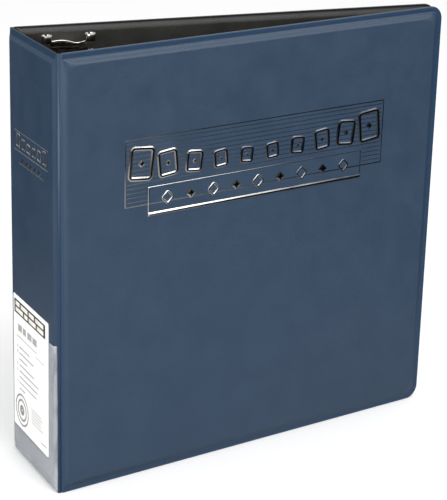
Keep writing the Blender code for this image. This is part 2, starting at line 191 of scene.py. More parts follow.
def rounded_face(bm, size, radius, turn=0.0):
    """A flat face in the x, y plane with rounded corners."""
    made = bmesh.ops.create_grid(bm, x_segments=1, y_segments=1, size=0.5)["verts"]
    bmesh.ops.scale(bm, vec=(size[0], size[1], 1), verts=made)
    bmesh.ops.rotate(bm, matrix=Matrix.Rotation(turn, 3, "Z"), verts=made)
    if not radius:
        return made[0].link_faces[0]
    rounded = bmesh.ops.bevel(
        bm, geom=made, offset=radius, segments=4, profile=0.5, affect="VERTICES", material=-1
    )
    return max((f for v in rounded["verts"] for f in v.link_faces), key=lambda f: f.calc_area())


def plaque(bm, centre, size, radius, turn, low, high, rim):
    """A low rounded plate in the x, z plane with a sloping rim. Its rim has the second material."""
    face = rounded_face(bm, size, radius, turn)
    base = list(face.verts)
    bmesh.ops.translate(bm, vec=(0, 0, low), verts=base)
    raised = bmesh.ops.extrude_face_region(bm, geom=[face])["geom"]
    top = next(item for item in raised if isinstance(item, bmesh.types.BMFace))
    bmesh.ops.translate(bm, vec=(0, 0, high - low), verts=list(top.verts))
    slope = bmesh.ops.inset_region(bm, faces=[top], thickness=rim, use_even_offset=True)["faces"]
    for item in slope:
        item.material_index = 1
    everything = set(base) | {v for f in slope for v in f.verts}
    outside = [v for v in everything if v not in top.verts and v not in base]
    bmesh.ops.translate(bm, vec=(0, 0, low - high + (high - low) * 0.3), verts=outside)
    shift = Matrix.Translation((centre[0], 0, centre[1])) @ Matrix.Rotation(math.pi / 2, 4, "X")
    bmesh.ops.transform(bm, matrix=shift, verts=list(everything))


def lathe(profile, place, axis, steps=48):
    """A turned piece from (radius, height) points that start and end on the axis."""
    bm = bmesh.new()
    verts = [bm.verts.new((radius, 0, height)) for radius, height in profile]
    edges = [bm.edges.new(pair) for pair in zip(verts, verts[1:])]
    bmesh.ops.spin(
        bm,
        geom=verts + edges,
        cent=(0, 0, 0),
        axis=(0, 0, 1),
        angle=2 * math.pi,
        steps=steps,
        use_merge=True,
    )
    bmesh.ops.remove_doubles(bm, verts=bm.verts, dist=0.0005)
    turn = Vector((0, 0, 1)).rotation_difference(Vector(axis)).to_matrix().to_4x4()
    bmesh.ops.transform(bm, matrix=Matrix.Translation(place) @ turn, verts=bm.verts)
    return bm


def finish_mesh(name, bm, place, materials, sharp=38):
    """An object in metres in the row frame, from a bmesh in millimetres in a sub-part's frame."""
    bmesh.ops.transform(bm, matrix=Matrix.Scale(MM, 4) @ place, verts=bm.verts)
    if place.is_negative:
        bmesh.ops.reverse_faces(bm, faces=bm.faces)
    mesh = bpy.data.meshes.new(name)
    bm.to_mesh(mesh)
    bm.free()
    for finish in materials:
        mesh.materials.append(finish)
    mesh.shade_smooth()
    mesh.set_sharp_from_angle(angle=math.radians(sharp))
    made = bpy.data.objects.new(name, mesh)
    bpy.context.scene.collection.objects.link(made)
    return made


def wall(piece, thickness):
    """Gives an open sheet its thickness, away from its shown side."""
    modifier = piece.modifiers.new("wall", "SOLIDIFY")
    modifier.thickness = thickness * MM
    modifier.offset = -1.0
    return piece


def soften(piece, width, segments=2):
    modifier = piece.modifiers.new("soft_edges", "BEVEL")
    modifier.width = width * MM
    modifier.segments = segments
    modifier.limit_method = "ANGLE"
    modifier.angle_limit = math.radians(40)
    return piece


def on_body(piece, body, slot, *nodes):
    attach(piece, body)
    if nodes:
        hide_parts(*nodes)
    return piece


# Materials


SWEEP_CENTRE = (-0.2, -0.32, 0.0)
SWEEP_EDGE = (0.45, 0.75)  # metres from the centre: where the lit paper starts and ends to fall off
SWEEP_GLOW = (0.50, 0.06)


class Shader:
    """A new node tree and the few things done to every one of them."""

    def __init__(self, tree):
        self.tree = tree

    def node(self, kind, values=(), **settings):
        made = self.tree.nodes.new(kind)
        for key, value in settings.items():
            setattr(made, key, value)
        for key, value in dict(values).items():
            if isinstance(value, bpy.types.NodeSocket):
                self.tree.links.new(value, made.inputs[key])
            else:
                made.inputs[key].default_value = value
        return made

    def math(self, operation, first, second):
        return self.node("ShaderNodeMath", {0: first, 1: second}, operation=operation).outputs[0]

    def noise(self, place, scale, detail=3.0, roughness=0.55):
        values = {"Vector": place, "Scale": scale, "Detail": detail, "Roughness": roughness}
        return self.node("ShaderNodeTexNoise", values).outputs["Fac"]

    def remap(self, value, low, high, to_low=0.0, to_high=1.0):
        values = {"Value": value, "From Min": low, "From Max": high, "To Min": to_low, "To Max": to_high}
        return self.node("ShaderNodeMapRange", values, clamp=True).outputs["Result"]

    def mix(self, share, first, second):
        made = self.node("ShaderNodeMix", {"Factor": share, "A": first, "B": second}, data_type="RGBA")
        return made.outputs["Result"]

    def bump(self, height, distance, strength=1.0, **more):
        values = {"Height": height, "Distance": distance, "Strength": strength, **more}
        return self.node("ShaderNodeBump", values).outputs["Normal"]

    def group(self, tree, values):
        return self.node("ShaderNodeGroup", values, node_tree=tree).outputs


def new_group(name, inputs, outputs):
    """An empty node group with float inputs, a Place vector, and float outputs."""
    tree = bpy.data.node_groups.new(name, "ShaderNodeTree")
    tree.interface.new_socket("Place", in_out="INPUT", socket_type="NodeSocketVector")
    for key, value in inputs.items():
        made = tree.interface.new_socket(key, in_out="INPUT", socket_type="NodeSocketFloat")
        made.default_value = value
    for key in outputs:
        tree.interface.new_socket(key, in_out="OUTPUT", socket_type="NodeSocketFloat")
    shader = Shader(tree)
    return shader, shader.node("NodeGroupInput").outputs, shader.node("NodeGroupOutput").inputs


def make_grain_group():
    """Embossed leather grain of pressed vinyl: pebbles of about a millimetre with fine creases on them."""
    shader, given, put = new_group("pressed_grain", {"Cells": 900.0}, ("Height", "Tone"))
    warp = shader.noise(given["Place"], 260.0, 2.0)
    push = shader.math("MULTIPLY", shader.math("SUBTRACT", warp, 0.5), 0.0022)
    joined = shader.node("ShaderNodeCombineXYZ", {"X": push, "Y": push, "Z": push}).outputs[0]
    warped = shader.node("ShaderNodeVectorMath", {0: given["Place"], 1: joined}, operation="ADD")
    values = {"Vector": warped.outputs[0], "Scale": given["Cells"], "Smoothness": 0.6}
    cells = shader.node("ShaderNodeTexVoronoi", values, feature="SMOOTH_F1").outputs["Distance"]
    pebbles = shader.remap(cells, 0.15, 0.75, 1.0, 0.0)
    creases = shader.noise(given["Place"], 2600.0, 3.0, 0.6)
    pebble_share = shader.math("MULTIPLY", pebbles, 0.75)
    height = shader.math("ADD", pebble_share, shader.math("MULTIPLY", creases, 0.25))
    shader.tree.links.new(height, put["Height"])
    shader.tree.links.new(pebbles, put["Tone"])
    return shader.tree


def make_undulation_group():
    """Slow swells of a sheet stretched over foam or board, and patches of slightly different wear."""
    shader, given, put = new_group("slow_swell", {"Size": 14.0}, ("Height", "Patches"))
    swell = shader.noise(given["Place"], given["Size"], 2.0, 0.5)
    fine = shader.math("MULTIPLY", given["Size"], 4.5)
    patches = shader.noise(given["Place"], fine, 4.0, 0.6)
    shader.tree.links.new(swell, put["Height"])
    shader.tree.links.new(patches, put["Patches"])
    return shader.tree


GRAIN = make_grain_group()
SWELL = make_undulation_group()


def new_finish(name, **constants):
    """A material with one Principled shader whose plain sockets are set here."""
    made = bpy.data.materials.new(name)
    made.use_nodes = True
    shader = Shader(made.node_tree)
    surface = made.node_tree.nodes["Principled BSDF"]
    for key, value in constants.items():
        surface.inputs[key.replace("_", " ").title().replace("Ior", "IOR")].default_value = value
    place = shader.node("ShaderNodeTexCoord").outputs["Object"]

    def feed(socket, value):
        made.node_tree.links.new(value, surface.inputs[socket])

    return made, shader, place, feed


def make_vinyl(name, dark, light, sealed_and_shaded, roughness, grain_depth, swell_depth):
    """Leather-grained vinyl. Along the seal tool's bands it is smoother, and its colour there is darker:
    painted shade.
    """
    finish, shader, place, feed = new_finish(name, specular_ior_level=0.5)
    grain = shader.group(GRAIN, {"Place": place, "Cells": 1100.0})
    swell = shader.group(SWELL, {"Place": place, "Size": 11.0})
    pressed_and_shaded = shader.node("ShaderNodeAttribute", attribute_name="pressed_and_shaded").outputs["Fac"]
    tone = shader.math("ADD", shader.math("MULTIPLY", grain["Tone"], 0.35), swell["Patches"])
    face = shader.mix(shader.remap(tone, 0.35, 0.95), dark, light)
    # The seal bands and grooves take the darker seal-band colour: painted shade.
    feed("Base Color", shader.mix(pressed_and_shaded, face, sealed_and_shaded))
    worn = shader.remap(swell["Patches"], 0.3, 0.7, roughness - 0.04, roughness + 0.05)
    feed("Roughness", shader.math("SUBTRACT", worn, shader.math("MULTIPLY", pressed_and_shaded, 0.12)))
    slow = shader.bump(swell["Height"], swell_depth * MM)
    depth = shader.remap(pressed_and_shaded, 0.0, 1.0, 1.0, 0.35)
    feed("Normal", shader.bump(grain["Height"], grain_depth * MM, depth, Normal=slow))
    return finish


def make_nickel():
    finish, shader, place, feed = new_finish("bright_nickel", metallic=1.0)
    swell = shader.group(SWELL, {"Place": place, "Size": 60.0})
    feed("Base Color", shader.mix(swell["Patches"], (0.50, 0.48, 0.45, 1), (0.74, 0.72, 0.68, 1)))
    feed("Roughness", shader.remap(swell["Patches"], 0.3, 0.7, 0.10, 0.24))
    feed("Normal", shader.bump(shader.noise(place, 1800.0), 0.004 * MM))
    return finish


def make_foil(name, dark, bright, painted_reflection_start):
    """Hot-stamped metallic foil with a painted reflection: its colour turns dark towards the fore edge and
    the top, and silver near the spine.
    """
    finish, shader, place, feed = new_finish(name, metallic=1.0)
    axes = shader.node("ShaderNodeSeparateXYZ", {0: place}).outputs
    # Painted reflection: the colour goes from silver to dark with height and towards the fore edge, by place.
    slope = shader.math("ADD", shader.math("MULTIPLY", axes["Z"], 2.2), axes["X"])
    clouds = shader.noise(place, 42.0, 2.0)
    slope = shader.math("ADD", slope, shader.math("MULTIPLY", clouds, 0.16))
    share = shader.remap(slope, painted_reflection_start, painted_reflection_start + 0.13)
    feed("Base Color", shader.mix(share, bright, dark))
    feed("Roughness", shader.remap(clouds, 0.3, 0.7, 0.12, 0.26))
    feed("Normal", shader.bump(shader.noise(place, 1400.0, 2.0), 0.012 * MM))
    return finish


def make_paper():
    finish, shader, place, feed = new_finish(
        "coated_card", roughness=0.5, coat_weight=0.15, coat_roughness=0.2
    )
    fibre = shader.noise(place, 1500.0, 4.0, 0.7)
    feed("Base Color", shader.mix(fibre, (0.80, 0.80, 0.78, 1), (0.90, 0.90, 0.88, 1)))
    feed("Normal", shader.bump(fibre, 0.006 * MM))
    return finish


def make_ink(name, colour, faded):
    finish, shader, place, feed = new_finish(name, roughness=0.42)
    feed("Base Color", shader.mix(shader.noise(place, 700.0, 4.0, 0.7), colour, faded))
    feed("Normal", shader.bump(shader.noise(place, 1500.0, 4.0, 0.7), 0.006 * MM))
    return finish


def make_film():
    """Clear plasticised vinyl, slightly milky, with the faint ripples of a calendered sheet."""
    finish, shader, place, feed = new_finish("clear_film", coat_weight=0.5, coat_roughness=0.08)
    ripples = shader.noise(place, 120.0, 3.0)
    haze = shader.noise(place, 35.0, 3.0)
    feed("Base Color", shader.mix(haze, (0.78, 0.80, 0.82, 1), (0.90, 0.91, 0.92, 1)))
    feed("Roughness", shader.remap(haze, 0.3, 0.7, 0.10, 0.22))
    clinging = shader.node("ShaderNodeAttribute", attribute_name="clinging").outputs["Fac"]
    milky = shader.remap(haze, 0.3, 0.7, 0.17, 0.25)
    clear = shader.math("SUBTRACT", 1.0, shader.math("MULTIPLY", clinging, 0.72))
    feed("Alpha", shader.math("MULTIPLY", milky, clear))
    feed("Normal", shader.bump(ripples, 0.05 * MM))
    return finish


def make_foam():
    finish, shader, place, feed = new_finish("open_foam", roughness=0.95, sheen_weight=0.3)
    pores = shader.node("ShaderNodeTexVoronoi", {"Vector": place, "Scale": 1400.0}).outputs["Distance"]
    feed("Base Color", shader.mix(pores, (0.38, 0.38, 0.34, 1), (0.70, 0.70, 0.65, 1)))
    feed("Normal", shader.bump(pores, 0.15 * MM))
    return finish


def make_chipboard():
    finish, shader, place, feed = new_finish("grey_chipboard", roughness=0.9)
    fibres = shader.noise(place, 900.0, 6.0, 0.75)
    flecks = shader.remap(shader.noise(place, 2400.0, 2.0), 0.62, 0.70)
    base = shader.mix(fibres, (0.26, 0.22, 0.17, 1), (0.42, 0.36, 0.28, 1))
    feed("Base Color", shader.mix(flecks, base, (0.12, 0.10, 0.08, 1)))
    feed("Normal", shader.bump(fibres, 0.05 * MM))
    return finish


def make_floor_finish():
    """White paper. In reflections it is a lit sweep near the object that falls off to a dark studio."""
    finish, shader, place, feed = new_finish("studio_paper", roughness=0.9, specular_ior_level=0.0)
    feed("Base Color", shader.mix(shader.noise(place, 3.0), (0.97, 0.97, 0.97, 1), (0.99, 0.99, 0.99, 1)))
    values = {0: place, 1: SWEEP_CENTRE}
    reach = shader.node("ShaderNodeVectorMath", values, operation="DISTANCE").outputs["Value"]
    lit = shader.remap(reach, *SWEEP_EDGE, *SWEEP_GLOW)
    sweep = shader.node("ShaderNodeEmission", {"Strength": lit})
    seen = shader.node("ShaderNodeLightPath").outputs["Is Glossy Ray"]
    nodes, links = finish.node_tree.nodes, finish.node_tree.links
    blend = nodes.new("ShaderNodeMixShader")
    links.new(seen, blend.inputs[0])
    links.new(nodes["Principled BSDF"].outputs[0], blend.inputs[1])
    links.new(sweep.outputs[0], blend.inputs[2])
    links.new(blend.outputs[0], nodes["Material Output"].inputs["Surface"])
    return finish


NAVY = make_vinyl(
    "navy_vinyl",
    dark=(0.0125, 0.031, 0.063, 1),
    light=(0.017, 0.039, 0.075, 1),
    # darker colour of the seal bands and grooves: painted shade
    sealed_and_shaded=(0.011, 0.033, 0.070, 1),
    roughness=0.44,
    grain_depth=0.06,
    swell_depth=0.6,
)
BLACK = make_vinyl(
    "black_vinyl",
    dark=(0.013, 0.013, 0.013, 1),
    light=(0.028, 0.027, 0.024, 1),
    # darker colour of the seal bands and grooves: painted shade
    sealed_and_shaded=(0.007, 0.007, 0.007, 1),
    roughness=0.42,
    grain_depth=0.05,
    swell_depth=1.6,
)
NICKEL = make_nickel()
# Both foils carry a painted reflection: silver low and near the spine, dark higher up and towards the fore
# edge.
FOIL = make_foil("foil_painted_reflection", (0.020, 0.022, 0.026, 1), (0.42, 0.41, 0.39, 1), 0.33)
FOIL_RIM = make_foil("silver_foil", (0.10, 0.11, 0.13, 1), (0.80, 0.79, 0.76, 1), 0.42)
PAPER = make_paper()
BLACK_INK = make_ink("black_ink", (0.02, 0.02, 0.022, 1), (0.06, 0.06, 0.06, 1))
GREY_INK = make_ink("grey_ink", (0.22, 0.22, 0.22, 1), (0.40, 0.40, 0.40, 1))
SEAL_INK = make_ink("seal_ink", (0.09, 0.09, 0.09, 1), (0.22, 0.22, 0.22, 1))
PALE_INK = make_ink("pale_ink", (0.62, 0.60, 0.54, 1), (0.80, 0.78, 0.72, 1))
FILM = make_film()
FOAM = make_foam()
CHIPBOARD = make_chipboard()


# Covers


def roll(start, width, from_depth, to_depth, steps=12):
    """Rows of (inset, depth, share) that leave the weld gently, climb, and lie flat at the crown."""
    rows = []
    for step in range(1, steps + 1):
        share = step / steps
        climb = share**1.4 * (3 - 2 * share**1.4) if share < 1 else 1.0
        rows.append((start + width * share, from_depth + (to_depth - from_depth) * min(1.0, climb), share))
    return rows


def sealed_rows(flange_depth, inner_depth):
    """Rows of (inset, depth) of the skin, from the middle of the sealed edge out across the weld."""
    thickness = inner_depth - flange_depth
    rows = [
        (0.02, flange_depth + thickness * EDGE_SHARE),
        (0.0, flange_depth + thickness * EDGE_SHARE * 0.5),
        (0.12, flange_depth + thickness * 0.1),
        (0.4, flange_depth + thickness * 0.03),
        (0.8, flange_depth),
    ]
    rows += [(3.2, flange_depth), (3.35, flange_depth + 0.1), (3.6, flange_depth + 0.1), (3.75, flange_depth)]
    return rows


def liner_rows(flange_depth, outer_depth):
    """Rows of (inset, depth) of the black sheet, from where it meets the skin on the sealed edge."""
    thickness = outer_depth - flange_depth
    return [
        (0.04, flange_depth + thickness * (1 - EDGE_SHARE)),
        (0.04, flange_depth + thickness * 0.25),
        (0.3, flange_depth),
        (0.9, flange_depth),
    ]


def cover_outline(inset, hinge_inset, hinge_radius, fore_radius):
    low = (COVER_START + hinge_inset, inset)
    high = (FORE_U - inset, HEIGHT - inset)
    return outline(low, high, hinge_radius, fore_radius)


def cover_ring(inset, hinge_inset, hinge_radius, fore_radius, depth, hinge_depth):
    """One ring of a cover's sheet at depth, except along the hinge, where hinge_depth(u) holds."""
    ring = []
    for u, z in cover_outline(inset, hinge_inset, hinge_radius, fore_radius):
        fall = hinge_depth(u)
        beside = min(1.0, (u - COVER_START - hinge_inset) / hinge_radius)
        ring.append((u, depth * beside + fall * (1 - beside), z))
    return ring


def cover_sheet(rows, flange_depth, border, crown_depth, crown_corner, puff, hinge_edge):
    """One sheet of a cover: its edge rows, the roll (start, width) over the filling, and the middle.

    hinge_edge is the sheet's depth where it meets the hinge."""

    def hinge_depth(u):
        share = min(1.0, (u - COVER_START) / HINGE_ROLL)
        return hinge_edge + (crown_depth - hinge_edge) * math.sin(share * math.pi / 2)

    start, width = border
    rings = []
    pressed_and_shaded = []
    for inset, depth in rows:
        hinge_inset = HINGE_FLANGE * inset / FLANGE
        rings.append(cover_ring(inset, hinge_inset, HINGE_CORNER, FORE_CORNER - inset, depth, hinge_depth))
        # The sealed edge rows get the full smooth finish and the painted shade of the seal bands.
        pressed_and_shaded.append(1.0)
    hinge_start = HINGE_FLANGE * start / FLANGE
    climb = roll(start, width, flange_depth, crown_depth)
    for inset, depth, share in [(start, flange_depth, 0.0)] + climb:
        hinge_radius = HINGE_CORNER + (crown_corner - HINGE_CORNER) * (0.4 + 0.6 * share)
        fore_radius = FORE_CORNER - start + (crown_corner - FORE_CORNER + start) * share
        hinge_inset = inset - start + hinge_start
        rings.append(cover_ring(inset, hinge_inset, hinge_radius, fore_radius, depth, hinge_depth))
        pressed_and_shaded.append(max(0.0, 1.0 - 4.0 * share))
    crown = start + width
    for distance, share in puff:
        inset = crown + distance
        depth = crown_depth + share * (SKIN_PUFF_V - SKIN_CROWN_V)
        points = cover_outline(inset, inset - start + hinge_start, crown_corner, crown_corner)
        rings.append([(u, depth, z) for u, z in points])
    return loft(rings, pressed_and_shaded)


def make_cover(side, place, body):
    """Navy padded skin and black liner of one cover, and its filling's materials."""
    rows = sealed_rows(SKIN_FLANGE_V, LINER_FLANGE_V)
    skin = cover_sheet(
        rows, SKIN_FLANGE_V, SKIN_ROLL, SKIN_CROWN_V, SKIN_CROWN_CORNER, PUFF, HINGE_EDGE_V
    )
    face_outwards(skin, (0, -1, 0))
    outer = finish_mesh(side + "_cover_skin", skin, place, [NAVY])
    on_body(wall(outer, SKIN), body, "navy_vinyl", side + "_skin")

    rows = liner_rows(LINER_FLANGE_V, SKIN_FLANGE_V)
    liner = cover_sheet(
        rows, LINER_FLANGE_V, LINER_ROLL, LINER_CROWN_V, LINER_CROWN_CORNER, (), LINER_FLANGE_V
    )
    face_outwards(liner, (0, 1, 0))
    inner = finish_mesh(side + "_cover_liner", liner, place, [BLACK])
    on_body(wall(inner, VINYL), body, "black_liner", side + "_liner")

    frame["nodes"][side + "_foam_pad"].data.materials[0] = FOAM
    frame["nodes"][side + "_board"].data.materials[0] = CHIPBOARD


# Spine


SPINE_FLANGE_DEPTH = 0.8
SPINE_LINER_FLANGE_DEPTH = 2.9
SPINE_LINER_DEPTH = 3.7
SPINE_SIDE_FLANGE = 0.7
SPINE_CORNER = 0.8  # corner radius on the sealed edge
SPINE_CROWN_CORNER = 2.0
SPINE_SKIN_ROLL = (4.4, 5.0)
SPINE_LINER_ROLL = (1.0, 3.0)
SPINE_SIDE_ROLL = 3.3  # width of the roll along each side
SPINE_SIDE_DEPTH = 2.2  # depth of the skin where it meets the hinge


def spine_sheet(rows, flange_depth, border, crown_depth, side_depth):
    """One sheet of the spine. It falls from its crown to side_depth along both sides."""
    start, width = border
    rings = []
    pressed_and_shaded = []

    def fall(y):
        share = max(0.0, 1 - (SPINE_HALF - abs(y)) / SPINE_SIDE_ROLL)
        return crown_depth + (side_depth - crown_depth) * share**1.3

    def add_ring(inset, side_inset, radius, depth, share):
        half = SPINE_HALF - side_inset
        ring = []
        for y, z in outline((-half, inset), (half, HEIGHT - inset), radius, radius):
            beside = min(1.0, (half - abs(y)) / radius)
            level = depth * beside + fall(y) * (1 - beside)
            lower = max(level, fall(y)) if side_depth > crown_depth else min(level, fall(y))
            ring.append((lower, y, z))
        rings.append(ring)
        pressed_and_shaded.append(share)

    for inset, depth in rows:
        # The sealed edge rows get the full smooth finish and the painted shade of the seal bands.
        add_ring(inset, SPINE_SIDE_FLANGE * inset / FLANGE, 0.6, depth, 1.0)
    add_ring(start, SPINE_SIDE_FLANGE * start / FLANGE, SPINE_CORNER, flange_depth, 1.0)
    for inset, depth, share in roll(start, width, flange_depth, crown_depth):
        radius = SPINE_CORNER + (SPINE_CROWN_CORNER - SPINE_CORNER) * share
        side_inset = SPINE_SIDE_FLANGE * start / FLANGE + inset - start
        add_ring(inset, side_inset, radius, depth, max(0.0, 1.0 - 4.0 * share))
    return loft(rings, pressed_and_shaded)


def make_spine():
    rows = sealed_rows(SPINE_FLANGE_DEPTH, SPINE_LINER_FLANGE_DEPTH)
    skin = spine_sheet(rows, SPINE_FLANGE_DEPTH, SPINE_SKIN_ROLL, 0.0, SPINE_SIDE_DEPTH)
    face_outwards(skin, (-1, 0, 0))
    outer = finish_mesh("spine_cover_skin", skin, SPINE, [NAVY])
    on_body(wall(outer, SKIN), "spine", "navy_vinyl", "spine_skin")

    rows = liner_rows(SPINE_LINER_FLANGE_DEPTH, SPINE_FLANGE_DEPTH)
    liner = spine_sheet(
        rows, SPINE_LINER_FLANGE_DEPTH, SPINE_LINER_ROLL, SPINE_LINER_DEPTH, SPINE_LINER_FLANGE_DEPTH
    )
    face_outwards(liner, (1, 0, 0))
    inner = finish_mesh("spine_cover_liner", liner, SPINE, [BLACK])
    on_body(wall(inner, VINYL), "spine", "black_liner", "spine_liner")
    frame["nodes"]["spine_board"].data.materials[0] = CHIPBOARD


# Hinges


def cover_point(side, u, v):
    """A point of a cover's plan in the spine frame, as (depth, y)."""
    place = FRONT if side == "front" else BACK
    moved = place @ Vector((u, v, 0))
    return (moved.x - SPINE_X, moved.y)


def bent_strip(start, middle, end, steps=10):
    """Plan points of a smooth bend from start to end, pulled towards middle."""
    points = []
    for step in range(steps + 1):
        t = step / steps
        weights = ((1 - t) ** 2, 2 * t * (1 - t), t**2)
        points.append([sum(w * p[axis] for w, p in zip(weights, (start, middle, end))) for axis in (0, 1)])
    return points


GROOVE_PULL = (3.4, 0.3)  # depth, and distance past the spine's side, that bend the groove
GUSSET_PULL = (3.0, 0.1)
HINGE_END_GAP = 0.1  # from a strip's end to the binder's upper or lower edge
# Share of the seal finish on the hinge strips; it also darkens the grooves with painted shade.
HINGE_PRESSED_AND_SHADED = 0.5


def make_hinge(side, sign):
    """Navy groove and black gusset of one hinge, bending between the spine and the cover."""
    specs = (
        ("groove", SPINE_SIDE_DEPTH, GROOVE_PULL, HINGE_EDGE_V, NAVY, "navy_vinyl", SKIN, -1),
        ("gusset", SPINE_LINER_FLANGE_DEPTH, GUSSET_PULL, LINER_FLANGE_V, BLACK, "black_liner", VINYL, 1),
    )
    for kind, depth, pull, cover_v, finish, slot, thickness, facing in specs:
        first = (depth, sign * SPINE_HALF)
        last = cover_point(side, COVER_START, cover_v)
        path = bent_strip(first, (pull[0], sign * (SPINE_HALF + pull[1])), last)
        bm = raise_strip([(x, y, HINGE_END_GAP) for x, y in path], HEIGHT - 2 * HINGE_END_GAP)
        # The strips take part of the seal-band colour, which darkens the groove: painted shade.
        mark = bm.verts.layers.float.new("pressed_and_shaded")
        for vert in bm.verts:
            vert[mark] = HINGE_PRESSED_AND_SHADED
        face_outwards(bm, (facing, -facing * sign, 0))
        strip = finish_mesh(side + "_hinge_" + kind, bm, SPINE, [finish])
        wall(strip, thickness)
        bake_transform(strip)
        if kind == "groove":
            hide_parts(side + "_hinge_strip")


# Foil on the front cover and the spine


FOIL_V = SKIN_PUFF_V - 0.02


def rule(bm, low, high, thickness=0.12):
    """A plain stamped line or bar between two corners of the u, z plane."""
    centre = ((low[0] + high[0]) / 2, (low[1] + high[1]) / 2)
    size = (high[0] - low[0], high[1] - low[1])
    plaque(bm, centre, size, 0, 0, 0.0, thickness, min(size) * 0.3)


def box_of_rules(bm, low, high, width):
    rule(bm, low, (high[0], low[1] + width))
    rule(bm, (low[0], high[1] - width), high)
    rule(bm, (low[0], low[1] + width), (low[0] + width, high[1] - width))
    rule(bm, (high[0] - width, low[1] + width), (high[0], high[1] - width))


def open_card(bm, centre, size, radius, turn, stroke, height):
    """The stamped outline of a blank card: a rounded ring whose two sides slope up to a ridge."""
    face = rounded_face(bm, size, radius)
    ring = bmesh.ops.inset_region(
        bm, faces=[face], thickness=stroke, use_boundary=True, use_even_offset=True
    )["faces"]
    bmesh.ops.delete(bm, geom=[face], context="FACES_ONLY")
    slopes = bmesh.ops.inset_region(
        bm, faces=ring, thickness=stroke * 0.3, use_boundary=True, use_even_offset=True
    )["faces"]
    for item in slopes:
        item.material_index = 1
    ridge = {v for f in ring for v in f.verts}
    bmesh.ops.translate(bm, vec=(0, 0, height), verts=list(ridge))
    everything = {v for f in ring + slopes for v in f.verts}
    stand = Matrix.Translation((centre[0], 0, centre[1])) @ Matrix.Rotation(math.pi / 2, 4, "X")
    bmesh.ops.transform(bm, matrix=stand @ Matrix.Rotation(turn, 4, "Z"), verts=list(everything))


FRAME_LOW, FRAME_HIGH = (46.7, 190.0), (254.2, 234.9)
PLATE_LOW, PLATE_HIGH = (64.0, 181.8), (236.2, 201.6)
ROW_FOOT = 206.4  # the cards' lower edges
END_CARD, MIDDLE_CARD = 23.0, 11.5  # card heights at the row's ends and in its middle


def make_front_foil():
    """A row of blank cards over fine rules, above a plain bevelled plate with a row of pips."""
    place = FRONT @ Matrix.Translation((0, FOIL_V, 0))
    bm = bmesh.new()
    box_of_rules(bm, FRAME_LOW, FRAME_HIGH, 0.7)
    lines = 15
    for line in range(1, lines):
        z = FRAME_LOW[1] + (FRAME_HIGH[1] - FRAME_LOW[1]) * line / lines
        u_low, u_high = FRAME_LOW[0] + 1.6, FRAME_HIGH[0] - 1.6
        if z < PLATE_HIGH[1] + 0.8:
            rule(bm, (u_low, z), (PLATE_LOW[0] - 1.0, z + 0.35), 0.06)
            rule(bm, (PLATE_HIGH[0] + 1.0, z), (u_high, z + 0.35), 0.06)
        else:
            rule(bm, (u_low, z), (u_high, z + 0.35), 0.06)
    on_body(finish_mesh("front_foil_rules", bm, place, [FOIL, FOIL_RIM]), "front_cover", "nickel_steel")

    bm = bmesh.new()
    cards = 10
    start = FRAME_LOW[0] + 12.0
    for index in range(cards):
        share = 2 * index / (cards - 1) - 1
        height = MIDDLE_CARD + (END_CARD - MIDDLE_CARD) * share**2
        width = 12.5 + 9.5 * share**2
        u = (FRAME_LOW[0] + FRAME_HIGH[0]) / 2 + share * (93.0 - 1.5 * share**2)
        lean = math.radians(6 if index % 2 else -6)
        centre = (u, ROW_FOOT + height / 2)
        stroke = 2.3 + 0.7 * share**2
        open_card(bm, centre, (width * 0.86, height), stroke * 1.2, lean, stroke, 0.4)
        pip = height * 0.17
        plaque(bm, centre, (pip, pip), 0.4, lean + math.pi / 4, 0.0, 0.35, pip * 0.25)
    on_body(finish_mesh("front_foil_cards", bm, place, [FOIL, FOIL_RIM], 20), "front_cover", "nickel_steel")

    bm = bmesh.new()
    foot = PLATE_LOW[1] + 2.6
    rule(bm, PLATE_LOW, (PLATE_HIGH[0], foot), 0.9)
    rule(bm, (PLATE_LOW[0], foot), (PLATE_LOW[0] + 1.2, PLATE_HIGH[1]), 0.4)
    rule(bm, (PLATE_HIGH[0] - 0.8, foot), PLATE_HIGH, 0.3)
    rule(bm, (PLATE_LOW[0] + 1.2, PLATE_HIGH[1] - 0.7), (PLATE_HIGH[0] - 0.8, PLATE_HIGH[1]), 0.25)
    pips = 9
    for index in range(pips):
        u = PLATE_LOW[0] + 15.0 + (PLATE_HIGH[0] - PLATE_LOW[0] - 30.0) * index / (pips - 1)
        size = 6.6 if index % 2 else 7.4
        centre = (u, PLATE_LOW[1] + 10.9)
        if index % 2:
            plaque(bm, centre, (size - 1.4, size - 1.4), 0.5, math.pi / 4, 0.0, 0.35, 1.2)
        else:
            open_card(bm, centre, (size, size), 1.7, math.pi / 4, 1.4, 0.3)
    on_body(finish_mesh("front_foil_plate", bm, place, [FOIL, FOIL_RIM], 20), "front_cover", "nickel_steel")


def make_spine_foil():
    """The same cards and pips, small, across the spine."""
    place = SPINE @ Matrix.Rotation(-math.pi / 2, 4, "Z")
    bm = bmesh.new()
    low, high = (-28.0, 217.5), (28.2, 231.0)
    box_of_rules(bm, low, high, 0.5)
    cards = 6
    for index in range(cards):
        share = 2 * index / (cards - 1) - 1
        height = 6.5 + 3.0 * share**2
        lean = math.radians(6 if index % 2 else -6)
        open_card(bm, (share * 22.0, 220.0 + height / 2), (6.4, height), 1.5, lean, 1.2, 0.2)
    for index in range(5):
        plaque(bm, (-14.0 + 7.0 * index, 212.8), (3.0, 3.0), 0.3, math.pi / 4, 0.0, 0.2, 0.5)
    rule(bm, (-21.0, 209.6), (21.0, 210.3))
    on_body(finish_mesh("spine_foil", bm, place, [FOIL, FOIL_RIM], 20), "spine", "nickel_steel")


# Label


